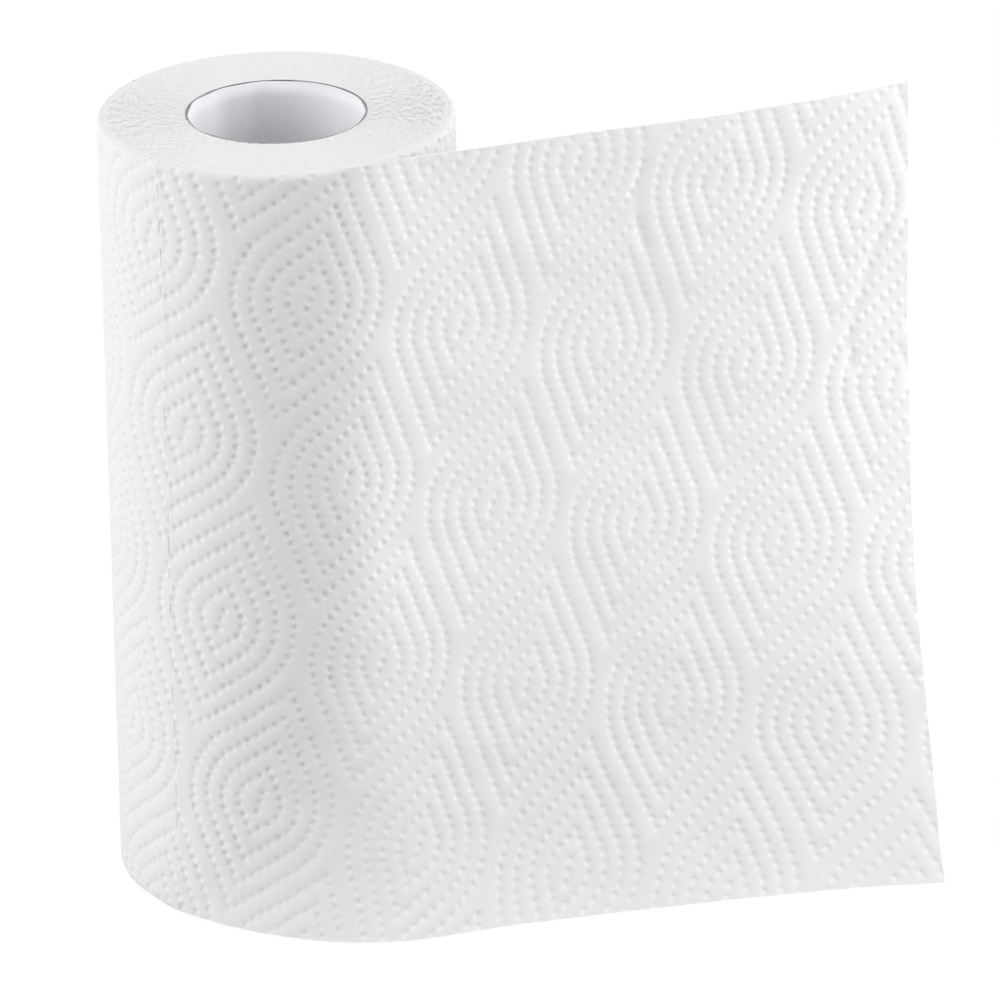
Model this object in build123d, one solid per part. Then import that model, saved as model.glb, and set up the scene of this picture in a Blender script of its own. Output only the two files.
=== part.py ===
# Paper towel roll standing on its end, its loose outer sheet drawn off to one side.
# Millimetres. The origin is on the roll's axis at the surface that it stands on, +Z is up,
# and the loose sheet leaves the roll at the front, towards -Y, and runs towards +X.
# A turn angle is measured about the axis from -Y towards +X, which is also the web's heading there.
import os
from math import cos, pi, radians, sin

from build123d import *

# Roll
roll_height = 225.0
roll_diameter = 99.2
web_thickness = 0.42
rim_softness = 1.8
rim_reach = 2.5
upper_rim_clear = 45.0
lower_rim_clear = 45.0
rim_lead = 4.0

# Cardboard core
core_outer_diameter = 50.4
core_wall = 0.7

# Gaps between turns that stand a little open on both ends
upper_gap_count = 7
lower_gap_count = 3
winding_gap_width = 0.34
winding_gap_depth = 0.4
winding_gap_margin = 2.4

# Loose sheet, where the outermost turn leaves the roll
root_angle = -62.0
perforation_angle = -41.3
sheet_length = 222.0
lower_corner_drop = 2.0

# Lower and upper edge of the loose sheet: heading where it leaves the roll, length of the belly
# that follows, heading after the belly, heading at the cut edge, and dip of the heading between
lower_edge = dict(leave=-44.5, belly=80.0, run=15.6, end=4.5, dip=0.0)
upper_edge = dict(leave=24.0, belly=7.0, run=21.8, end=29.0, dip=8.5)
belly_bend = 1.28
flare_fade = 4.2

# Sections that the paper passes through, closer together at both ends, and points along each
section_count = 9
outer_points = 26
inner_points = 22
wrap_points = 12
path_step = 0.5

# Seat of the web on the roll: how far its wrapped stretch sinks in, how far its root reaches in
# and lies under the turn's face, and the turn angle after which its inner face is free
web_sink = 1.0
root_sink = 0.8
root_inset = 0.02
free_lead = 7.0

# Perforation: slits between ties, cut part of the way through the web
slit_length = 8.6
slit_pitch = 9.4
slit_width = 0.3
slit_depth = 0.25

roll_radius = roll_diameter / 2
core_outer_radius = core_outer_diameter / 2
core_inner_radius = core_outer_radius - core_wall

# The roll's outline is a spiral of two half turns, whose centres lie either side of the axis
centre_shift = web_thickness / 4
root_direction = Vector(sin(radians(root_angle)), -cos(radians(root_angle)))
first_centre = root_direction * centre_shift
first_radius = roll_radius - centre_shift
second_centre = root_direction * -centre_shift
second_radius = roll_radius - 3 * centre_shift
wrap_radius = second_radius + web_thickness
turn_per_length = 180 / (pi * wrap_radius)
free_length = (perforation_angle - root_angle) / turn_per_length + sheet_length


def around(centre, radius, angle):
    """Point at a turn angle on a circle."""
    return centre + Vector(sin(radians(angle)), -cos(radians(angle))) * radius


def half_turn(centre, radius, start):
    """Half circle that runs back from a turn angle."""
    return ThreePointArc(*[around(centre, radius, start - turn) for turn in (0, 90, 180)])


def edge_value(name, height):
    """Value of the loose sheet's shape at a height from 0 at the base to 1 at the top."""
    fade = 1 - (1 - height) ** flare_fade
    return lower_edge[name] + (upper_edge[name] - lower_edge[name]) * fade


def heading(length, height):
    """Heading of the web at a length from its root."""
    leave = edge_value("leave", height)
    belly = edge_value("belly", height)
    run = edge_value("run", height)
    on_roll = (leave - root_angle) / turn_per_length
    if length < on_roll:
        return root_angle + turn_per_length * length
    if length < on_roll + belly:
        return leave + (run - leave) * ((length - on_roll) / belly) ** belly_bend
    along = (length - on_roll - belly) / (free_length - on_roll - belly)
    dip = edge_value("dip", height) * sin(radians(180 * along))
    return run + (edge_value("end", height) - run) * along - dip


def web_path(lengths, height):
    """Place and heading of the web's outer face at rising lengths, the first one at or before its root."""
    reached = lengths[0]
    place = around(second_centre, wrap_radius - root_inset, root_angle + turn_per_length * reached)
    path = []
    for length in lengths:
        steps = max(1, round((length - reached) / path_step))
        stride = (length - reached) / steps
        for step in range(steps):
            middle = radians(heading(reached + (step + 0.5) * stride, height))
            place = place + Vector(cos(middle), sin(middle)) * stride
        reached = length
        path.append((place, radians(heading(length, height))))
    return path


def even_steps(start, end, count):
    return [start + (end - start) * index / (count - 1) for index in range(count)]


def web_section(height):
    """Outline of the web at one height, its wrapped stretch sunk a little into the turns under it."""
    end = free_length + lower_corner_drop * (1 - height) ** 2
    contact_angle = edge_value("leave", height)
    free_start = (contact_angle + free_lead - root_angle) / turn_per_length
    outside = [place for place, _ in web_path(even_steps(-root_sink, end, outer_points), height)]
    free_part = web_path([0.0] + even_steps(free_start, end, inner_points), height)[1:]
    inside = [place + Vector(-sin(angle), cos(angle)) * web_thickness for place, angle in free_part]
    sunk_radius = second_radius - web_sink
    root_start = root_angle - root_sink * turn_per_length
    sunk = [around(second_centre, sunk_radius, angle) for angle in even_steps(contact_angle, root_start, wrap_points)]
    lift = Vector(0, 0, height * roll_height)
    outer = Spline([point + lift for point in outside])
    inner = Spline([point + lift for point in inside[::-1] + sunk[:1]])
    under = Spline([point + lift for point in sunk])
    cut_edge = Line(outer @ 1, inner @ 0)
    root = Line(under @ 1, outer @ 0)
    return make_face([outer, cut_edge, inner, under, root])


def wound_turns():
    """Block of wound turns, with the step where the outermost turn goes on as the loose sheet."""
    outer_half = half_turn(first_centre, first_radius, root_angle)
    inner_half = half_turn(second_centre, second_radius, root_angle - 180)
    step = Line(inner_half @ 1, outer_half @ 0)
    return extrude(make_face([outer_half, inner_half, step]), roll_height)


def loose_web():
    """Outermost turn from its root on the roll to the cut edge of the loose sheet."""
    turns = even_steps(0, 180, section_count)
    return loft([web_section((1 - cos(radians(turn))) / 2) for turn in turns])


def rim_cutter(start_angle, end_angle, base, into):
    """Ring segment that takes the sharp corner off a rim in three cone bands."""
    soft = rim_softness
    reach = roll_radius + rim_reach
    across = [-soft, -0.45 * soft, -0.14 * soft, 0.14 * soft]
    down = [0.0, 0.14 * soft, 0.45 * soft, 1.3 * soft]
    bands = [(roll_radius + x, z) for x, z in zip(across, down)]
    outline = [(reach, -soft), (roll_radius - 2 * soft, -soft)] + bands + [(reach, down[-1])]
    flat = Polyline([Vector(x, 0, base + into * z) for x, z in outline], close=True)
    return Rot(0, 0, start_angle - 90) * revolve(make_face(flat), Axis.Z, end_angle - start_angle)


def winding_gap(radius, base, into):
    """V groove between two turns that stand a little apart, as wide as stated at the end plane."""
    outline = [(-winding_gap_width, -winding_gap_depth), (0, winding_gap_depth), (winding_gap_width, -winding_gap_depth)]
    flat = Polyline([Vector(radius + x, 0, base + into * z) for x, z in outline], close=True)
    return revolve(make_face(flat), Axis.Z)


def perforation_slits():
    """Row of slits up the web's outer face, centred on the roll's height."""
    count = int((roll_height - slit_pitch) / slit_pitch) + 1
    first = (roll_height - (count - 1) * slit_pitch) / 2
    face = around(second_centre, wrap_radius, perforation_angle)
    slit = Rot(0, 0, perforation_angle) * Box(slit_width, 2 * slit_depth, slit_length)
    return [Pos(face.X, face.Y, first + slit_pitch * index) * slit for index in range(count)]


def end_gaps(count, base, into):
    """Open winding gaps of one end, spread evenly between the core and the rim."""
    inner = core_outer_radius + winding_gap_margin
    outer = roll_radius - rim_softness - winding_gap_margin
    return [winding_gap(radius, base, into) for radius in even_steps(inner, outer, count)]


def paper_roll():
    """The whole web: wound turns, bore, soft rims, open winding gaps, perforation and loose sheet."""
    bore = Pos(0, 0, roll_height / 2) * Cylinder(core_outer_radius, roll_height + 2)
    upper_rim = rim_cutter(upper_rim_clear, 360 + upper_edge["leave"] - rim_lead, roll_height, -1)
    lower_rim = rim_cutter(lower_rim_clear, 360 + lower_edge["leave"] - rim_lead, 0, 1)
    upper_gaps = end_gaps(upper_gap_count, roll_height, -1)
    lower_gaps = end_gaps(lower_gap_count, 0, 1)
    web = wound_turns() + loose_web()
    return web - [bore, upper_rim, lower_rim, *upper_gaps, *lower_gaps, *perforation_slits()]


def core_tube():
    """Cardboard tube, flush with both ends of the roll."""
    outside = Cylinder(core_outer_radius, roll_height)
    inside = Cylinder(core_inner_radius, roll_height + 2)
    return Pos(0, 0, roll_height / 2) * (outside - inside)


def main():
    os.makedirs("parts", exist_ok=True)
    export_step(paper_roll(), "parts/paper_roll.step")
    export_step(core_tube(), "parts/core_tube.step")


main()
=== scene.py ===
import bmesh
import bpy
import numpy as np
from mathutils import Matrix, Vector
from mathutils.geometry import delaunay_2d_cdt


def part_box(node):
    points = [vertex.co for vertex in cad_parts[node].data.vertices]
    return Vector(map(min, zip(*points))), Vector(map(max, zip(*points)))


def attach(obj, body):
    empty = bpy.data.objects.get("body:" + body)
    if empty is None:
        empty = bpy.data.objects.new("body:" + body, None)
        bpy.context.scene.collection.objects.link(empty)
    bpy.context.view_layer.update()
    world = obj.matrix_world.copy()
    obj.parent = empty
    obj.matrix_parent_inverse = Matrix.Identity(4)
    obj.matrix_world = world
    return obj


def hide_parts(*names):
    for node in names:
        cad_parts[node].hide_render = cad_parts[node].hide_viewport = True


# Paper towel roll standing on its end, its loose outer sheet drawn off to one side.
# Metres. The origin is on the roll's axis at the surface that it stands on. A turn angle is measured
# about the axis from -Y towards +X, in degrees, and is also the web's heading there.
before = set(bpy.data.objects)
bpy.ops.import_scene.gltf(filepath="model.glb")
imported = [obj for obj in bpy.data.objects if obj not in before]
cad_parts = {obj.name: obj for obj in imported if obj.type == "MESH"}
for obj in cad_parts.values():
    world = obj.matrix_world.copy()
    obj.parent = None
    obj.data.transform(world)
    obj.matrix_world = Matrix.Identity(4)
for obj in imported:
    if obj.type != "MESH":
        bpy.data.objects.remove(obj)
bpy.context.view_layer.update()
MM = 0.001

# Roll and core
roll_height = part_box("paper_roll")[1].z
core_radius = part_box("core_tube")[1].x
core_wall = 0.7 * MM
roll_radius = 49.6 * MM
paper_thickness = 0.42 * MM

# Soft rims of the roll: how far in and how deep they reach, rows of points that round them as shares
# of the depth, how they end where the web leaves the roll, how near an end the embossing is pressed
# flat, and the share of it that stays at the loose sheet's edges
rim_inset = 1.5 * MM
rim_depth = 1.9 * MM
rim_rows = (1.0, 0.72, 0.46, 0.26, 0.11, 0.03)
rim_fade = (-12 * MM, 2 * MM)
rim_flat = 1.2 * MM
edge_relief = 0.45

# Loose sheet: where the web's root lies, its perforations, and the shape of its two edges
root_angle = -62.0
perforation_angle = -41.3
sheet_length = 222 * MM
lower_corner_drop = 3.4 * MM
corner_drop_fade = 26
corner_drop_run = 30 * MM
lower_edge = dict(leave=-44.5, belly=80.0 * MM, run=15.9, end=5.4, dip=0.0)
upper_edge = dict(leave=24.0, belly=7.0 * MM, run=21.8, end=29.0, dip=8.5)
belly_bend = 1.28
flare_fade = 4.2
sheet_unevenness = 0.5 * MM
back_lap = 1 * MM

# The roll's outline is a spiral of two half turns, with centres on either side of the axis
centre_shift = paper_thickness / 4
first_radius = roll_radius - centre_shift
second_radius = roll_radius - 3 * centre_shift
wrap_radius = second_radius + paper_thickness
turn_per_length = 180 / (np.pi * wrap_radius)
first_half = np.pi * first_radius
turn_length = np.pi * (first_radius + second_radius)
perforation_length = (perforation_angle - root_angle) / turn_per_length
free_length = perforation_length + sheet_length

# Grid that the web's course is worked out on
height_rows = 91
path_step = 0.5 * MM
spare_steps = 2
just_inside = 1.001

# Embossing: leaf-shaped rings of dots about an eye, one leaf to each place of a slanted lattice
eye_place = np.array([34.2, 92.1]) * MM
along_lattice = np.array([43.6, -13.1]) * MM
down_lattice = np.array([9.2, -54.6]) * MM
lattice = np.array([along_lattice, down_lattice])
leaf_tip = np.array([10.2, 38.65]) * MM
leaf_side_centre = np.array([-6.4, 0.2]) * MM
leaf_side_radius = 28.5 * MM
leaf_side_span = (19.8, -53.3)
leaf_side_points = 24
ring_sizes = (0.262, 0.468, 0.675, 0.888)
dot_pitch = 3.05 * MM
eye_line_angle = 72.0

# Uneven stretch of the embossed towel: rows closer together at the base, waves along it with their
# size and start, a slow bow and twist in millimetres about a middle place, and a pull at the base
row_squeeze = 0.081
squeeze_centre = 106 * MM
squeeze_rounds = 6
stretch_wave = 196 * MM
stretch_along = (1.3 * MM, 39 * MM)
stretch_up = (1.5 * MM, 145 * MM)
stretch_middle = np.array([110.0, 112.0]) * MM
stretch_limits = (-1.4, 1.25)
bow_terms = (0.5, 1.2, 1.4)
bow_along_terms = (0.8, -2.1)
twist_terms = (1.26, -2.8, -0.4)
base_pull = 4.8 * MM
base_pull_height = 40 * MM
base_pull_along = (90 * MM, 180 * MM)

# Dots: ring radii with points and share of the depth, and the soft groove that links them.
# Depths are given first where the towel is wound tight, then where it hangs loose
dot_rings = ((1.22 * MM, 9, 0.0), (0.9 * MM, 9, 0.4), (0.48 * MM, 5, 0.88))
dot_depths = (0.44 * MM, 0.23 * MM)
dot_wander = 0.16 * MM
dot_unevenness = 0.36
pillow_rise = 0.12 * MM
groove_depths = (0.09 * MM, 0.28 * MM)
groove_reach = 1.2 * MM
slacken = (-8 * MM, 26 * MM)
base_relief = 0.45
base_relief_height = 90 * MM
base_relief_along = (0, 75 * MM)
back_share = 0.9

# Embossing's mesh: pitch and wander of the points between dots and their distance from dots, a nudge
# that keeps triangles from tying, how far a repeat is worked out past its own edges, how many repeats
# there are dot draws for either way, and how close together points count as one
fill_pitch = 1.45 * MM
fill_wander = 0.2
fill_clear = 1.55 * MM
tie_nudge = 0.01 * MM
repeat_margin = 0.16
same_point = 1e-6
cell_reach = 16
cut_closeness = 1e-7
weld_distance = 0.03 * MM

# Painted light in the loose sheet's colour, for light that comes through it: where it starts past the roll
# and along +X, and how it fades to painted shade towards the floor by height
painted_light_past = (-7 * MM, 11 * MM)
painted_light_along = (2 * MM, 34 * MM)
painted_light_above_floor = (0, 120 * MM)

# How far the turn under the loose sheet stays below it, where it comes out from under it, and how
# far under it that turn is still made
tuck_depth = 1.0 * MM
tuck_fade = (-1 * MM, 9 * MM)
tuck_lap = 6 * MM

# Creases of the loose sheet: places along and up it in millimetres, depth and reach
creases = (
    (((232, 183), (227, 172), (224, 163), (221, 153), (222, 143)), 0.5 * MM, 1.3 * MM),
    (((160, 213), (157, 206), (158, 196), (159.5, 190)), 0.55 * MM, 1.4 * MM),
)

# Perforation: slits between ties, wandering a little, with a lip that stands up beside them
slit_pitch = 9.4 * MM
slit_length = 6.2 * MM
slit_length_shares = (0.6, 1.25)
slit_fade = (0.6 * MM, 0.2 * MM)
slit_half_width = 0.14 * MM
slit_depth = 0.3 * MM
slit_wander = 0.22 * MM
wander_reach = 8 * slit_wander
spare_slits = 2
lip_places = (0.5 * MM, 1.1 * MM)
lip_rise = 0.12 * MM

# Ends of the roll: how far round the turns' edges reach under the loose sheet in degrees, waves of
# their edges in a turn, how one turn follows its neighbours, and how far the gaps between turns stand
# open: on average and by chance, at the sides against front and back, and more at the right
end_lap = 8.0
edge_waves = (40, 190, 14)
spare_turns = 4
own_share, shared_by = 3, 3.3
gap_openness = (0.2, 0.9)
widest_gap = 2.2
gap_sides = (0.75, 0.25)
gap_right = 0.12
gap_start_turns = 3
gap_sharpness = 3

# Core: points round it, rings as shares of its height, waves of its cut edge, how much of the wall
# the edge shows on average, by chance and less at the front, and how it stands proud of the paper
core_columns = 180
core_levels = (0, 0.02, 0.2, 0.4, 0.6, 0.8, 0.98, 1)
core_waves = (3, 15)
core_edge_shares = (0.9, 0.3, 0.25)
core_proud = 0.02 * MM
core_lip = 0.05 * MM

# Colours between which each finish varies, as red, green and blue
wound_paper = ((0.76, 0.763, 0.773), (0.85, 0.853, 0.862))
# Loose sheet's paper with painted light: lighter than the wound paper, for the light that comes through it
# from behind
loose_paper_with_painted_light = ((0.89, 0.893, 0.903), (0.98, 0.981, 0.985))
turn_edges = ((0.755, 0.755, 0.76), (0.825, 0.825, 0.828))
lining_board = ((0.765, 0.773, 0.80), (0.85, 0.856, 0.88))
# Core's cut edge: the board's own grey with painted shade, near black
grey_board_with_painted_shade = ((0.06, 0.06, 0.065), (0.22, 0.22, 0.225))
pale_board = ((0.36, 0.36, 0.37), (0.60, 0.60, 0.61))

# Studio: floor's own tone, its brightness to the camera and the share of that, its half width and its
# drop below the roll, distance and size of the lamps and where they aim, and the room's light
floor_tone = 0.66
floor_bright = 1.1
floor_bright_share = 0.82
floor_half = 6.0
floor_drop = 0.5 * MM
lamp_distance = 1.6
lamp_size = 1.2
lamp_aim = (50 * MM, 0, roll_height / 2)
room_light = 0.395


def smooth_step(value, low, high):
    """0 below low, 1 above high, with a soft ramp between."""
    part = np.clip((value - low) / (high - low), 0, 1)
    return part * part * (3 - 2 * part)


def direction(angle):
    """Unit vectors at turn angles."""
    return np.stack([np.sin(np.radians(angle)), -np.cos(np.radians(angle))], -1)


def soft_waves(length, height, seed, count, longest, shortest, rise):
    """Gentle unevenness of the paper: a sum of plane waves in random directions."""
    draw = np.random.default_rng(seed)
    waves = 2 * np.pi / np.geomspace(longest, shortest, count)
    aims = draw.uniform(0, np.pi, count)
    starts = draw.uniform(0, 2 * np.pi, count)
    total = np.zeros_like(length)
    for wave, aim, start in zip(waves, aims, starts):
        total += np.cos(wave * (length * np.cos(aim) + height * np.sin(aim)) + start) / wave
    return rise * total * waves[0] / np.sqrt(count)


# Course of the web: round the roll, off it and along the loose sheet
def edge_value(name, height):
    """Value of the loose sheet's shape at heights from 0 at the base to 1 at the top."""
    fade = 1 - (1 - height) ** flare_fade
    return lower_edge[name] + (upper_edge[name] - lower_edge[name]) * fade


def leave_length(height):
    """Length from the root at which the web leaves the roll, at heights from 0 to 1."""
    return (edge_value("leave", height) - root_angle) / turn_per_length


def heading(length, height):
    """Heading of the web in radians, at lengths from its root and heights from 0 to 1."""
    names = ("leave", "belly", "run", "end", "dip")
    leave, belly, run, end, dip = [edge_value(name, height) for name in names]
    on_roll = leave_length(height)
    bent = np.clip((length - on_roll) / belly, 0, None)
    bend = leave + (run - leave) * bent ** belly_bend
    along = (length - on_roll - belly) / (free_length - on_roll - belly)
    straight = run + (end - run) * along - dip * np.sin(np.pi * along)
    wrapped = root_angle + turn_per_length * length
    first_turn = root_angle + np.degrees(length / first_radius)
    second_turn = root_angle - 180 + np.degrees((length + first_half) / second_radius)
    reaches = [length < -first_half, length < 0, length < on_roll, length < on_roll + belly]
    return np.radians(np.select(reaches, [second_turn, first_turn, wrapped, bend], straight))


def trace_web():
    """Places and headings of the web's outer face on a grid of heights and lengths."""
    rows = np.linspace(0, 1, height_rows)[:, None]
    back_steps = int(np.ceil(turn_length / path_step))
    front_steps = int(np.ceil((free_length + lower_corner_drop) / path_step)) + spare_steps
    lengths = np.arange(-back_steps, front_steps + 1) * path_step
    middle = heading(lengths[None, :-1] + path_step / 2, rows)
    steps = np.stack([np.cos(middle), np.sin(middle)], -1) * path_step
    places = np.concatenate([np.zeros((height_rows, 1, 2)), np.cumsum(steps, 1)], 1)
    root_place = direction(root_angle) * (wrap_radius - centre_shift)
    places += root_place - places[:, back_steps:back_steps + 1]
    angles = heading(lengths[None, :], rows)
    return lengths, np.dstack([places, angles])


web_lengths, web_grid = trace_web()


def on_web(length, height):
    """Place and outward direction of the web's outer face at any lengths and heights in metres."""
    column = np.clip((length - web_lengths[0]) / path_step, 0, len(web_lengths) - just_inside)
    row = np.clip(height / roll_height, 0, 1) * (height_rows - just_inside)
    left, low = column.astype(int), row.astype(int)
    across, up = (column - left)[:, None], (row - low)[:, None]
    lower = web_grid[low, left] * (1 - across) + web_grid[low, left + 1] * across
    upper = web_grid[low + 1, left] * (1 - across) + web_grid[low + 1, left + 1] * across
    found = lower * (1 - up) + upper * up
    return found[:, :2], np.stack([np.sin(found[:, 2]), -np.cos(found[:, 2])], 1)


def past_leave(length, height):
    """How far past the place where the web leaves the roll, at lengths and heights in metres."""
    return length - leave_length(height / roll_height)


def wound_share(length, height):
    """1 where the web lies on the roll and 0 on the loose sheet."""
    return 1 - smooth_step(past_leave(length, height), *rim_fade)


# Embossing, laid out flat
def evenly_spaced(path, pitch):
    """Points at even steps along a path, without its last point."""
    reached = np.concatenate([[0], np.cumsum(np.hypot(*np.diff(path, axis=0).T))])
    count = max(1, round(reached[-1] / pitch))
    stops = np.arange(count) * reached[-1] / count
    return np.stack([np.interp(stops, reached, path[:, axis]) for axis in (0, 1)], 1)


def leaf_of_dots():
    """Dots of one leaf: rings with a sharp tip at each end, and a short line in the eye."""
    normals = np.radians(np.linspace(*leaf_side_span, leaf_side_points))
    side = leaf_side_centre + leaf_side_radius * np.stack([np.cos(normals), np.sin(normals)], 1)
    half_ring = np.vstack([leaf_tip, side, -leaf_tip])
    halves = [evenly_spaced(half_ring * size, dot_pitch) for size in ring_sizes]
    line = direction(eye_line_angle + 90) * dot_pitch
    return np.vstack(halves + [-half for half in halves] + [np.array([-line, 0 * line, line])])


def embossing_tile():
    """One repeat of the embossing as triangles that join the next repeats on all sides.

    Gives the points with their dot number, share of the depth and groove, and each triangle's
    corners as points and whole repeats along and down the lattice."""
    draw = np.random.default_rng(5)
    dots = leaf_of_dots() @ np.linalg.inv(lattice)
    dots = (dots - np.floor(dots)) @ lattice
    repeats = [(i, j) for i in (-1, 0, 1) for j in (-1, 0, 1)]
    all_dots = np.vstack([dots + np.array(repeat) @ lattice for repeat in repeats])

    points, numbers, depths = [dots], [np.arange(len(dots))], [np.ones(len(dots))]
    for order, (radius, count, share) in enumerate(dot_rings):
        turns = 2 * np.pi * (np.arange(count) + order / 2) / count
        ring = radius * np.stack([np.cos(turns), np.sin(turns)], 1)
        points.append((dots[:, None] + ring).reshape(-1, 2))
        numbers.append(np.repeat(np.arange(len(dots)), count))
        depths.append(np.full(len(dots) * count, share))
    sides = [round(np.hypot(*side) / fill_pitch) for side in lattice]
    grid = np.stack(np.meshgrid(*[np.arange(side) / side for side in sides]), -1).reshape(-1, 2)
    fill = grid @ lattice + draw.uniform(-fill_wander, fill_wander, grid.shape) * fill_pitch
    gaps = np.hypot(*(fill[:, None] - all_dots[None]).transpose(2, 0, 1)).min(1)
    fill = fill[gaps > fill_clear]
    points.append(fill)
    numbers.append(np.full(len(fill), -1))
    depths.append(np.zeros(len(fill)))
    points, numbers, depths = np.vstack(points), np.concatenate(numbers), np.concatenate(depths)

    squares = ((points[:, None] - all_dots[None]) ** 2).sum(2)
    groove = np.exp(-squares / (2 * groove_reach ** 2)).sum(1)
    nudged = points + draw.uniform(-1, 1, points.shape) * tie_nudge

    spread, origin = [], []
    for i, j in repeats:
        part = (nudged + np.array([i, j]) @ lattice) @ np.linalg.inv(lattice)
        near = np.flatnonzero(((part > -repeat_margin) & (part < 1 + repeat_margin)).all(1))
        spread.append(part[near] @ lattice)
        origin += [(point, i, j) for point in near]
    spread, origin = np.vstack(spread), np.array(origin)
    made = delaunay_2d_cdt([Vector(place / MM) for place in spread], [], [], 0, same_point)
    source = origin[[ids[0] for ids in made[3]]]
    faces = np.array(made[2])
    corners = np.array([vertex[:] for vertex in made[0]])[faces]
    middles = corners.mean(1) * MM @ np.linalg.inv(lattice)
    own = ((middles >= 0) & (middles < 1)).all(1)
    return points, numbers, depths, groove, source[faces[own]]


tile_points, tile_dots, tile_depths, tile_groove, tile_faces = embossing_tile()
dot_draw_shape = (2 * cell_reach, 2 * cell_reach, tile_dots.max() + 1, 3)
dot_draw = np.random.default_rng(11).uniform(-1, 1, dot_draw_shape)


def lattice_height(height):
    """Height in the even lattice: the rows stand a little closer at the base than at the top."""
    return height - row_squeeze * (height - squeeze_centre) ** 2


def stretched(place):
    """Where a place of the even lattice lies on the towel, whose paper has stretched unevenly."""
    length, level = place[..., 0], place[..., 1]
    height = level
    for _ in range(squeeze_rounds):
        height = level + row_squeeze * (height - squeeze_centre) ** 2
    both = (stretch_along, stretch_up)
    waves = [size * np.sin(2 * np.pi * (length - start) / stretch_wave) for size, start in both]
    along = np.clip(length / stretch_middle[0] - 1, *stretch_limits)
    up = height / stretch_middle[1] - 1
    bow = bow_terms[0] + bow_terms[1] * up + bow_terms[2] * up ** 2
    bow = bow - along * (bow_along_terms[0] + bow_along_terms[1] * up ** 2)
    twist = along ** 2 * (twist_terms[0] * along + twist_terms[1] * up + twist_terms[2])
    pull = base_pull * np.clip(1 - height / base_pull_height, 0, 1) * smooth_step(length, *base_pull_along)
    return np.stack([length + waves[0] + (bow + twist) * MM + pull, height + waves[1]], -1)


def flat_towel(start, end):
    """Embossed towel laid flat: length, height and groove at its points, their dents, and its faces."""
    corners = np.array([(u, lattice_height(v)) for u in (start, end) for v in (0, roll_height)]) - eye_place
    reach = corners @ np.linalg.inv(lattice)
    low, high = np.floor(reach.min(0)).astype(int) - 1, np.ceil(reach.max(0)).astype(int) + 1
    points_in_tile = len(tile_points)
    rows = (high - low + 2)[1]
    keys = []
    for i in range(low[0], high[0] + 1):
        for j in range(low[1], high[1] + 1):
            cell = (tile_faces[:, :, 1] + i - low[0]) * rows + tile_faces[:, :, 2] + j - low[1]
            place = tile_points[tile_faces[:, :, 0]] + (tile_faces[:, :, 1:] + (i, j)) @ lattice + eye_place
            length, height = np.moveaxis(stretched(place), -1, 0)
            inside = (length.max(1) > start) & (length.min(1) < end)
            inside &= (height.max(1) > 0) & (height.min(1) < roll_height)
            keys.append((cell * points_in_tile + tile_faces[:, :, 0])[inside])
    keys, faces = np.unique(np.vstack(keys), return_inverse=True)
    faces = faces.reshape(-1, 3)
    cell, point = np.divmod(keys, points_in_tile)
    shift = np.stack([cell // rows + low[0], cell % rows + low[1]], 1)
    chance = dot_draw[shift[:, 0] + cell_reach, shift[:, 1] + cell_reach, tile_dots[point]]
    chance = chance * (tile_dots[point] >= 0)[:, None]
    place = tile_points[point] + shift @ lattice + eye_place + chance[:, :2] * dot_wander
    dent = tile_depths[point] * (1 + dot_unevenness * chance[:, 2])
    return np.column_stack([stretched(place), tile_groove[point]]), dent, faces


def cut_towel(start, end, seams):
    """Flat towel cut to size, with rows of points added at the rims and along seams.

    Gives length, height, groove and dent at its points, and its faces."""
    vertices, dent, faces = flat_towel(start, end)
    mesh = bpy.data.meshes.new("flat_towel")
    mesh.vertices.add(len(vertices))
    mesh.vertices.foreach_set("co", vertices.ravel())
    mesh.loops.add(faces.size)
    mesh.loops.foreach_set("vertex_index", faces.ravel())
    mesh.polygons.add(len(faces))
    mesh.polygons.foreach_set("loop_start", np.arange(len(faces)) * 3)
    mesh.update(calc_edges=True)
    mesh.attributes.new("dent", "FLOAT", "POINT").data.foreach_set("value", dent)
    towel = bmesh.new()
    towel.from_mesh(mesh)
    bpy.data.meshes.remove(mesh)
    cuts = [((start, 0, 0), (-1, 0, 0), True), ((end, 0, 0), (1, 0, 0), True)]
    cuts += [((0, 0, 0), (0, -1, 0), True), ((0, roll_height, 0), (0, 1, 0), True)]
    cuts += [((0, rim_depth * row, 0), (0, 1, 0), False) for row in rim_rows]
    cuts += [((0, roll_height - rim_depth * row, 0), (0, 1, 0), False) for row in rim_rows]
    cuts += [((seam, 0, 0), (1, 0, 0), False) for seam in seams]
    for place, outward, clear in cuts:
        parts = towel.verts[:] + towel.edges[:] + towel.faces[:]
        bmesh.ops.bisect_plane(
            towel, geom=parts, dist=cut_closeness, plane_co=place, plane_no=outward, clear_outer=clear)
    bmesh.ops.remove_doubles(towel, verts=towel.verts, dist=weld_distance)
    layer = towel.verts.layers.float["dent"]
    flat = np.array([(*vertex.co, vertex[layer]) for vertex in towel.verts])
    towel.verts.index_update()
    outlines = [[vertex.index for vertex in face.verts] for face in towel.faces]
    towel.free()
    return flat, outlines


# Relief of the towel besides its embossing
def slit_mask(height):
    """How open the perforation's slits are along the web's height, 0 at the ties between them."""
    count = int((roll_height - slit_pitch) / slit_pitch) + 1
    first = (roll_height - (count - 1) * slit_pitch) / 2
    number = np.round((height - first) / slit_pitch).astype(int)
    off = np.abs(height - first - number * slit_pitch)
    shares = np.random.default_rng(17).uniform(*slit_length_shares, count + 2 * spare_slits)
    share = shares[number + spare_slits]
    reach = slit_length * share / 2
    return share * (1 - smooth_step(off, reach - slit_fade[0], reach + slit_fade[1]))


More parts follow.
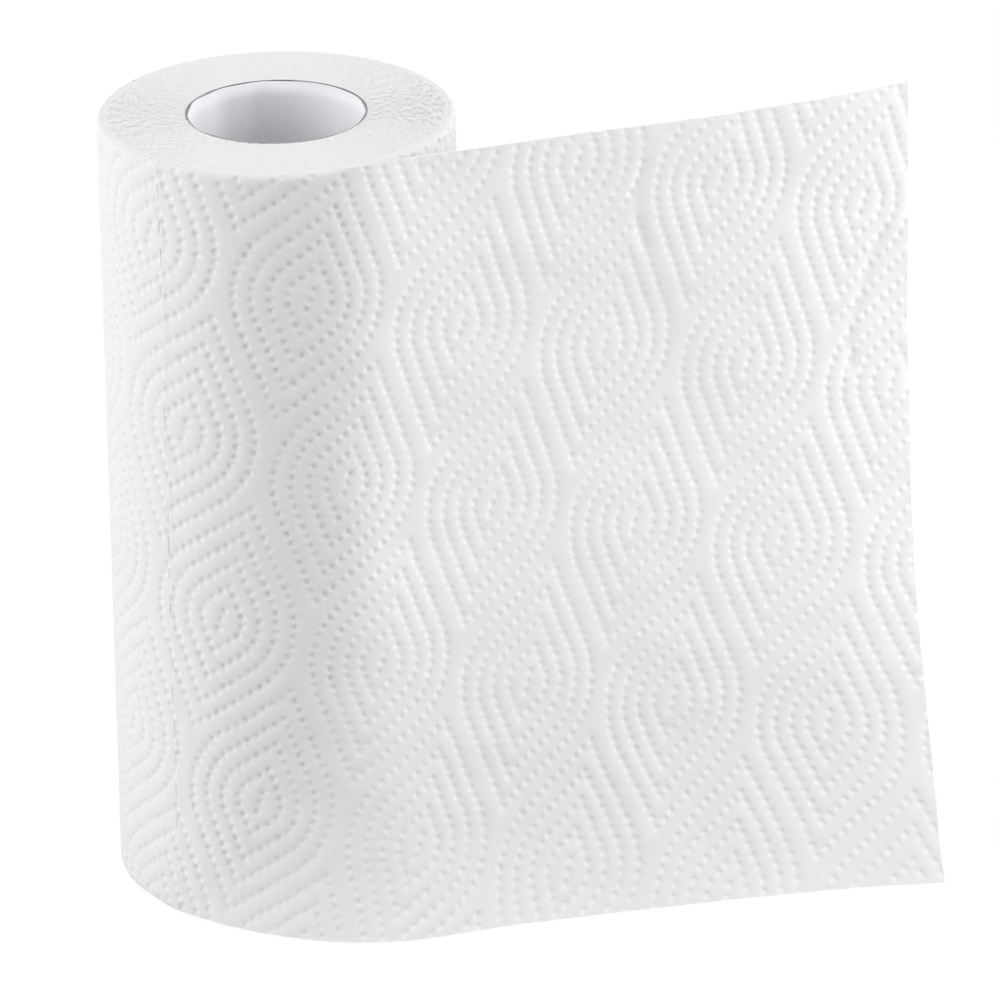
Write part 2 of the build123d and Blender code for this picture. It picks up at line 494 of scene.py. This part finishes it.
def perforation_lift(length, height):
    """Sunken slits of the perforation and the soft lip on their right."""
    off = length - perforation_length
    cut = slit_mask(height) * (np.abs(off) < slit_half_width / 2) * slit_depth
    lip = np.exp(-((off - lip_places[0]) / lip_places[0]) ** 2) * (off > 0)
    uneven = 1 + soft_waves(length * 0, height, seed=19, count=6, longest=40 * MM, shortest=6 * MM, rise=1)
    return lip * lip_rise * np.clip(uneven, 0, 2) - cut


def rim_inset_at(height):
    """How far the roll's side draws in towards its ends."""
    near_end = np.minimum(height, roll_height - height)
    part = np.clip(1 - near_end / rim_depth, 0, 1)
    return rim_inset * (1 - np.sqrt(1 - part ** 2))


def crease_at(length, height):
    """Depth of the loose sheet's creases at places along and up it."""
    place = np.stack([length, height], -1)
    total = np.zeros_like(length)
    for line, depth, reach in creases:
        points = np.array(line) * MM
        near = np.full(length.shape, np.inf)
        for start, end in zip(points[:-1], points[1:]):
            side = end - start
            part = np.clip((place - start) @ side / (side @ side), 0, 1)
            near = np.minimum(near, np.hypot(*(place - start - part[..., None] * side).T))
        total += depth * np.exp(-near ** 2 / (2 * reach ** 2))
    return total


def lay_on_web(flat, inner=False):
    """Wraps the flat towel onto the web's course, on its outer or its inner face."""
    length, height, groove, dent = flat.T
    loose = 1 - wound_share(length, height)
    drop = lower_corner_drop * (1 - height / roll_height) ** corner_drop_fade
    shifted = length + drop * smooth_step(length, free_length - corner_drop_run, free_length)
    near = np.exp(-((length - perforation_length) / wander_reach) ** 2)
    wander = soft_waves(
        length * 0, height, seed=29, count=7, longest=60 * MM, shortest=7 * MM, rise=slit_wander)
    place, outward = on_web(shifted + near * wander, height)
    slack = smooth_step(past_leave(length, height), *slacken)
    depths = [tight + (free - tight) * slack for tight, free in (groove_depths, dot_depths)]
    relief = pillow_rise - depths[0] * groove - depths[1] * dent
    low = 1 - smooth_step(height, 0, base_relief_height)
    stronger = smooth_step(place[:, 0], *base_relief_along) * low
    flatter = 1 - smooth_step(np.minimum(height, roll_height - height), 0, rim_flat)
    relief *= (1 + base_relief * stronger) * (1 - flatter * (1 - loose * edge_relief))
    lift = relief + perforation_lift(length, height) - rim_inset_at(height) * (1 - loose)
    uneven = soft_waves(
        length, height, seed=3, count=14, longest=70 * MM, shortest=14 * MM, rise=sheet_unevenness)
    lift += uneven * loose - crease_at(length, height)
    covered = past_leave(length + turn_length, height)
    lift -= tuck_depth * (1 - smooth_step(covered, *tuck_fade))
    if inner:
        lift -= paper_thickness + (1 - back_share) * relief
    place = place + outward * lift[:, None]
    return np.column_stack([place, height])


def towel_traits(flat):
    """How deep the towel is dented, and how clear of the roll it hangs: the masks of the painted light in
    its finish.
    """
    length, height, _, dent = flat.T
    place, _ = on_web(length, height)
    clear = smooth_step(past_leave(length, height), *painted_light_past)
    return dict(dent=dent, clear=clear * smooth_step(place[:, 0], *painted_light_along))


# Finishes
class Signal:
    """A value that runs between shader nodes. Arithmetic on it adds Math nodes."""

    def __init__(self, finish, socket):
        self.finish = finish
        self.socket = socket

    def combine(self, operation, first, second):
        return self.finish.node("ShaderNodeMath", dict(operation=operation), {0: first, 1: second})

    def __add__(self, other):
        return self.combine("ADD", self, other)

    def __mul__(self, other):
        return self.combine("MULTIPLY", self, other)

    __radd__ = __add__
    __rmul__ = __mul__


class Finish:
    """A material made of shader nodes."""

    def __init__(self, name):
        self.material = bpy.data.materials.new(name)
        self.material.use_nodes = True
        self.tree = self.material.node_tree
        self.tree.nodes.clear()

    def node(self, kind, settings, sockets, output=0):
        """Adds a node with its settings, then the values or links of its sockets."""
        made = self.tree.nodes.new(kind)
        for name, value in settings.items():
            setattr(made, name, value)
        for name, value in sockets.items():
            if isinstance(value, Signal):
                self.tree.links.new(value.socket, made.inputs[name])
            else:
                made.inputs[name].default_value = value
        return Signal(self, made.outputs[output])

    def place(self):
        """Place on the object."""
        return self.node("ShaderNodeTexCoord", {}, {}, output="Object")

    def grain(self, place, scale, detail, roughness=0.5):
        """Soft random grain from 0 to 1."""
        return self.node("ShaderNodeTexNoise", {}, {
            "Vector": place, "Scale": scale, "Detail": detail, "Roughness": roughness})

    def trait(self, name):
        """Value that the piece's points carry."""
        return self.node("ShaderNodeAttribute", dict(attribute_name=name), {}, output="Fac")

    def along(self, place, axis):
        """One coordinate of a place."""
        return self.node("ShaderNodeSeparateXYZ", {}, {0: place}, output=axis)

    def ramp(self, value, start, end, shape="LINEAR"):
        """0 where a value is at its start, 1 where it is at its end."""
        return self.node("ShaderNodeMapRange", dict(interpolation_type=shape), {0: value, 1: start, 2: end})

    def between(self, factor, first, second):
        """Colour between two, each written as red, green and blue or made by other nodes."""
        sides = [side if isinstance(side, Signal) else (*side, 1) for side in (first, second)]
        sockets = {0: factor, 6: sides[0], 7: sides[1]}
        return self.node("ShaderNodeMix", dict(data_type="RGBA"), sockets, output=2)

    def relief(self, height, strength, depth):
        """Fine relief that is too small for the mesh."""
        return self.node("ShaderNodeBump", {}, {"Height": height, "Strength": strength, "Distance": depth})

    def surface(self, colour, roughness, normal, shine, softness=0.0):
        """Ends the material in a surface, and gives the material."""
        return self.end_in(self.node("ShaderNodeBsdfPrincipled", {}, {
            "Base Color": colour, "Roughness": roughness, "Normal": normal,
            "Specular IOR Level": shine, "Diffuse Roughness": softness}))

    def end_in(self, surface):
        """Ends the material in a shader, and gives the material."""
        ending = self.tree.nodes.new("ShaderNodeOutputMaterial")
        self.tree.links.new(surface.socket, ending.inputs["Surface"])
        return self.material


def towel_paper():
    """Soft white tissue: felted fibres, faint crepe lines up the web and a slightly uneven tone.

    It is painted lighter where it hangs clear of the roll, with painted shade towards the floor, and painted
    lighter there in its dents, for light that comes through the thin paper."""
    finish = Finish("towel_paper")
    place = finish.place()
    drawn_up = finish.node("ShaderNodeMapping", {}, {"Vector": place, "Scale": (1, 1, 0.22)})
    crepe = finish.grain(drawn_up, scale=1600, detail=3)
    fibres = finish.grain(place, scale=900, detail=5, roughness=0.65)
    cloud = finish.grain(place, scale=45, detail=3)
    tone = cloud * 0.5 + fibres * 0.5
    dent = finish.trait("dent")
    clear = finish.trait("clear")
    # Mask of the painted light through the loose sheet, fading to painted shade towards the floor
    free = clear * finish.ramp(finish.along(place, "Z"), *painted_light_above_floor, shape="SMOOTHSTEP")
    # Dents painted lighter where the paper hangs clear: painted light that comes through the pressed paper
    wound = finish.between(tone * 0.5 + dent * clear * 0.5, *wound_paper)
    loose = finish.between(tone * 0.35 + dent * 0.5, *loose_paper_with_painted_light)
    relief = finish.relief(crepe * 0.5 + fibres * 0.5, strength=0.35, depth=0.12 * MM)
    colour = finish.between(free, wound, loose)
    return finish.surface(colour, tone * 0.1 + 0.85, relief, shine=0.1, softness=0.25)


def wound_edges():
    """Cut edges of the turns on the roll's ends: matt, with fine fibre ends."""
    finish = Finish("wound_edges")
    place = finish.place()
    fibres = finish.grain(place, scale=1500, detail=4, roughness=0.7)
    tone = finish.grain(place, scale=60, detail=2) * 0.6 + fibres * 0.4
    colour = finish.between(tone, *turn_edges)
    relief = finish.relief(fibres, strength=0.4, depth=0.12 * MM)
    return finish.surface(colour, tone * 0.1 + 0.85, relief, shine=0.15, softness=0.25)


def core_lining():
    """Grey paperboard of the core, mottled with recycled fibre."""
    finish = Finish("core_lining")
    place = finish.place()
    fibres = finish.grain(place, scale=700, detail=5, roughness=0.7)
    tone = finish.grain(place, scale=70, detail=3) * 0.5 + fibres * 0.5
    colour = finish.between(tone, *lining_board)
    relief = finish.relief(fibres, strength=0.3, depth=0.1 * MM)
    return finish.surface(colour, tone * 0.15 + 0.75, relief, shine=0.25)


def core_cut_edge():
    """Cut edge of the core's board: grey board, darkened to near black by painted shade, paler in patches
    and towards the front.
    """
    finish = Finish("core_cut_edge")
    place = finish.place()
    fibres = finish.grain(place, scale=1500, detail=4, roughness=0.7)
    patches = finish.grain(place, scale=65, detail=4)
    # Paler towards the front, so darker at the back and sides: painted shade
    paler = finish.ramp(finish.along(place, "Y"), 6 * MM, -20 * MM)
    paler_patches = finish.ramp(patches, 0.44, 0.62)
    dark = finish.between(fibres, *grey_board_with_painted_shade)
    light = finish.between(fibres, *pale_board)
    colour = finish.between(paler * 0.55 + paler_patches * 0.6, dark, light)
    relief = finish.relief(fibres, strength=0.4, depth=0.1 * MM)
    return finish.surface(colour, fibres * 0.1 + 0.85, relief, shine=0.15)


paper_finish = towel_paper()
edges_finish = wound_edges()
lining_finish = core_lining()
board_finish = core_cut_edge()


def only_used(faces):
    """Numbers of the points that faces use, and the faces renumbered to those points alone."""
    used = np.unique(np.concatenate([np.ravel(face) for face in faces]))
    renumber = np.full(used[-1] + 1, -1)
    renumber[used] = np.arange(len(used))
    return used, [[int(renumber[index]) for index in face] for face in faces]


def add_piece(name, vertices, faces, finishes, stands_for, traits=None):
    """Makes a smooth-shaded piece that rides with the roll, with traits that its finish reads."""
    mesh = bpy.data.meshes.new(name)
    mesh.from_pydata(np.asarray(vertices).tolist(), [], faces)
    mesh.polygons.foreach_set("use_smooth", np.ones(len(mesh.polygons), bool))
    for trait, values in (traits or {}).items():
        mesh.attributes.new(trait, "FLOAT", "POINT").data.foreach_set("value", values)
    for finish in finishes:
        mesh.materials.append(finish)
    piece = bpy.data.objects.new(name, mesh)
    bpy.context.scene.collection.objects.link(piece)
    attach(piece, "root")
    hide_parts(stands_for)
    return piece


def add_towel(name, vertices, faces, traits):
    """Makes a piece of the embossed towel."""
    add_piece(name, vertices, faces, [paper_finish], "paper_roll", traits)


# Loose sheet
def loose_sheet():
    """Outer face of the web from the perforation to the cut edge, and the back of the free part."""
    seams = [perforation_length + off for off in (slit_half_width, *lip_places)]
    flat, outlines = cut_towel(perforation_length, free_length, seams)
    front = lay_on_web(flat)
    traits = towel_traits(flat)
    add_towel("loose_sheet_face", front, outlines, traits)

    free = flat[:, 0] > leave_length(flat[:, 1] / roll_height) - back_lap
    kept = [outline for outline in outlines if all(free[index] for index in outline)]
    back = lay_on_web(flat, inner=True)
    bordered = (flat[:, 1] < weld_distance) | (flat[:, 1] > roll_height - weld_distance)
    at_cut = flat[:, 0] > free_length - weld_distance
    walls, numbers, extra, sources = [], {}, [], list(range(len(flat)))
    for outline in kept:
        for first, second in zip(outline, outline[1:] + outline[:1]):
            level = abs(flat[first, 1] - flat[second, 1]) < weld_distance
            on_rim = bordered[first] and bordered[second] and level
            if on_rim or (at_cut[first] and at_cut[second]):
                for index in (first, second):
                    if index not in numbers:
                        numbers[index] = len(back) + len(extra)
                        extra += [front[index], (front[index] + back[index]) / 2, back[index]]
                        sources += [index] * 3
                for step in (0, 1):
                    a, b = numbers[first] + step, numbers[second] + step
                    walls.append((b, a, a + 1, b + 1))
    used, faces = only_used([outline[::-1] for outline in kept] + walls)
    traits = {trait: values[sources][used] for trait, values in traits.items()}
    add_towel("loose_sheet_back", np.vstack([back, extra])[used], faces, traits)


# Side of the roll
def roll_side():
    """Outermost turn, in two halves, from the perforation back round to under the loose sheet."""
    middle = perforation_length - turn_length / 2
    halves = {
        "roll_side_left": (middle, perforation_length, [perforation_length - slit_half_width]),
        "roll_side_right": (-turn_length, middle, [])}
    for name, (start, end, seams) in halves.items():
        flat, outlines = cut_towel(start, end, seams)
        covered = flat[:, 0] + turn_length < leave_length(flat[:, 1] / roll_height) - tuck_lap
        kept = [outline for outline in outlines if not all(covered[index] for index in outline)]
        used, faces = only_used(kept)
        flat = flat[used]
        add_towel(name, lay_on_web(flat), faces, towel_traits(flat))


# Ends of the roll
def roll_end(name, level, up, samples, columns, ridge, waver):
    """Annulus of turn edges between the core and the rim, as a strip one turn round."""
    draw = np.random.default_rng(23)
    height = np.full(columns, float(level))
    leave = edge_value("leave", level / roll_height) + end_lap
    angles = np.linspace(leave - 360, leave, columns)
    spiral = roll_radius + paper_thickness * (angles - root_angle) / 360
    length = np.where(angles > root_angle, (angles - root_angle) / turn_per_length, -1)
    rim = spiral - rim_inset * wound_share(length, height)
    first = np.ceil(rim_inset / paper_thickness) + 1
    count = int(np.ceil((roll_radius - core_radius) / paper_thickness) + 1)
    turns = np.concatenate([[0], first + np.arange(int((count - first) * samples)) / samples])
    radius = spiral[None] - turns[:, None] * paper_thickness
    radius[0] = rim
    inside = radius < core_radius
    radius = np.maximum(radius, core_radius)

    part = turns % 1
    whole = np.floor(turns).astype(int)
    waves = np.unique(np.round(np.geomspace(*edge_waves)))
    starts = draw.uniform(0, 2 * np.pi, (2, whole.max() + spare_turns, len(waves)))
    rough = np.cos(np.radians(angles)[:, None] * waves + starts[:, :, None]).sum(3)
    rough = rough / np.sqrt(len(waves) / 2)
    bunched = (rough[:, :-2] + own_share * rough[:, 1:-1] + rough[:, 2:]) / shared_by
    reached = (angles - angles[0]) / 360
    bunched = bunched[:, 1:] * (1 - reached) + bunched[:, :-1] * reached
    openness = np.clip(gap_openness[0] + gap_openness[1] * bunched[0], 0, widest_gap)
    openness *= gap_sides[0] - gap_sides[1] * np.cos(np.radians(2 * angles))
    openness *= 1 + gap_right * np.sin(np.radians(angles))
    fading = np.clip((turns - first) / gap_start_turns, 0, 1)[:, None]
    sunk = ridge * (np.abs(2 * part - 1) ** gap_sharpness)[:, None] * openness[whole] * fading
    lift = waver * bunched[1][whole] - sunk
    lift[0] = 0
    z = level + (lift if up else -lift)

    x, y = (direction(angles)[None] * radius[:, :, None]).transpose(2, 0, 1)
    vertices = np.stack([x, y, z], -1).reshape(-1, 3)
    faces = []
    for row in range(len(turns) - 1):
        for column in range(columns - 1):
            if inside[row, column] and inside[row, column + 1]:
                continue
            a = row * columns + column
            face = (a, a + 1, a + columns + 1, a + columns)
            faces.append(face if up else face[::-1])
    used, faces = only_used(faces)
    add_piece(name, vertices[used], faces, [edges_finish], "paper_roll")


# Cardboard core
def core():
    """Tube of board: its lining, its cut edge at both ends and its outer face against the paper."""
    angles = np.linspace(0, 360, core_columns, endpoint=False)
    draw = np.random.default_rng(31)
    waves = np.arange(*core_waves)
    starts = draw.uniform(0, 2 * np.pi, len(waves))
    usual, chance, front = core_edge_shares
    uneven = np.cos(np.radians(angles)[:, None] * waves + starts).sum(1)
    thin = usual + chance * uneven / np.sqrt(len(waves)) - front * np.cos(np.radians(angles))
    inner = core_radius - core_wall * thin
    outer = np.full(core_columns, core_radius + core_proud)
    rings = [(inner, roll_height * level) for level in core_levels]
    rings += [(outer, roll_height + core_lip), (outer, 0)]
    vertices = []
    for radius, z in rings:
        vertices += [(x, y, z) for x, y in direction(angles) * radius[:, None]]
    faces = []
    for row in range(len(rings)):
        low, high = row * core_columns, (row + 1) % len(rings) * core_columns
        for column in range(core_columns):
            beside = (column + 1) % core_columns
            faces.append((low + beside, low + column, high + column, high + beside))
    piece = add_piece("core", vertices, faces, [lining_finish, board_finish], "core_tube")
    for face in piece.data.polygons:
        face.material_index = int(face.index >= (len(core_levels) - 1) * core_columns)
        face.use_smooth = face.material_index == 0


loose_sheet()
roll_side()
roll_end("roll_top_end", roll_height, up=True, samples=3, columns=520, ridge=0.27 * MM, waver=0.03 * MM)
roll_end("roll_base_end", 0, up=False, samples=2, columns=120, ridge=0.05 * MM, waver=0.0)
core()


# Floor, lamps and camera
def floor():
    """Pale plain floor that reads as white to the camera and keeps a soft shadow."""
    finish = Finish("floor_white")
    camera, glossy, through = [
        finish.node("ShaderNodeLightPath", {}, {}, output=f"Is {kind} Ray")
        for kind in ("Camera", "Glossy", "Transmission")]
    seen = finish.node("ShaderNodeMath", dict(operation="MAXIMUM"), {0: camera, 1: glossy}) + through
    matt = finish.node("ShaderNodeBsdfDiffuse", {}, {"Color": (floor_tone, floor_tone, floor_tone, 1)})
    bright = finish.node("ShaderNodeEmission", {}, {"Color": (1, 1, 1, 1), "Strength": floor_bright})
    finish.end_in(finish.node("ShaderNodeMixShader", {}, {0: seen * floor_bright_share, 1: matt, 2: bright}))
    mesh = bpy.data.meshes.new("floor")
    corners = [(x * floor_half, y * floor_half, 0) for x, y in ((-1, -1), (1, -1), (1, 1), (-1, 1))]
    mesh.from_pydata(corners, [], [(0, 1, 2, 3)])
    mesh.materials.append(finish.material)
    plane = bpy.data.objects.new("floor", mesh)
    bpy.context.scene.collection.objects.link(plane)
    plane.location.z = -floor_drop


def softbox(name, azimuth, elevation, watts):
    """Large soft lamp that looks at the middle of the roll."""
    lamp = bpy.data.lights.new(name, "AREA")
    lamp.shape = "RECTANGLE"
    lamp.size = lamp.size_y = lamp_size
    lamp.energy = watts
    box = bpy.data.objects.new(name, lamp)
    bpy.context.scene.collection.objects.link(box)
    turn, rise = np.radians(azimuth), np.radians(elevation)
    away = Vector((np.sin(turn) * np.cos(rise), -np.cos(turn) * np.cos(rise), np.sin(rise)))
    box.location = Vector(lamp_aim) + away * lamp_distance
    box.rotation_euler = away.to_track_quat("Z", "Y").to_euler()


def studio():
    """Even pale room light."""
    world = bpy.data.worlds.new("studio")
    bpy.context.scene.world = world
    world.use_nodes = True
    nodes = world.node_tree.nodes
    nodes["Background"].inputs["Color"].default_value = (1, 1, 1, 1)
    nodes["Background"].inputs["Strength"].default_value = room_light


def camera():
    """Camera at the photograph's place, from the fit of the roll's outline."""
    frame_pixels = 1000
    focal_pixels = 9579.6
    distance, height = 2480 * MM, 1149 * MM
    pan, tilt, roll = 0.024156, 0.397649, -0.016711
    lens = bpy.data.cameras.new("camera")
    lens.sensor_width = 36
    lens.lens = focal_pixels * lens.sensor_width / frame_pixels
    lens.clip_start, lens.clip_end = 0.1, 50
    forward = Vector((np.sin(pan) * np.cos(tilt), np.cos(pan) * np.cos(tilt), -np.sin(tilt)))
    level = Vector((np.cos(pan), -np.sin(pan), 0))
    upright = level.cross(forward)
    right = level * np.cos(roll) + upright * np.sin(roll)
    up = upright * np.cos(roll) - level * np.sin(roll)
    view = bpy.data.objects.new("camera", lens)
    bpy.context.scene.collection.objects.link(view)
    turned = Matrix((right, up, -forward)).transposed()
    view.matrix_world = Matrix.Translation((0, -distance, height)) @ turned.to_4x4()
    bpy.context.scene.camera = view


floor()
softbox("left_softbox", azimuth=-73, elevation=27, watts=18.2)
softbox("right_softbox", azimuth=83, elevation=27, watts=21.5)
softbox("top_softbox", azimuth=0, elevation=80, watts=3.0)
studio()
camera()
bpy.context.scene.view_settings.view_transform = "Standard"
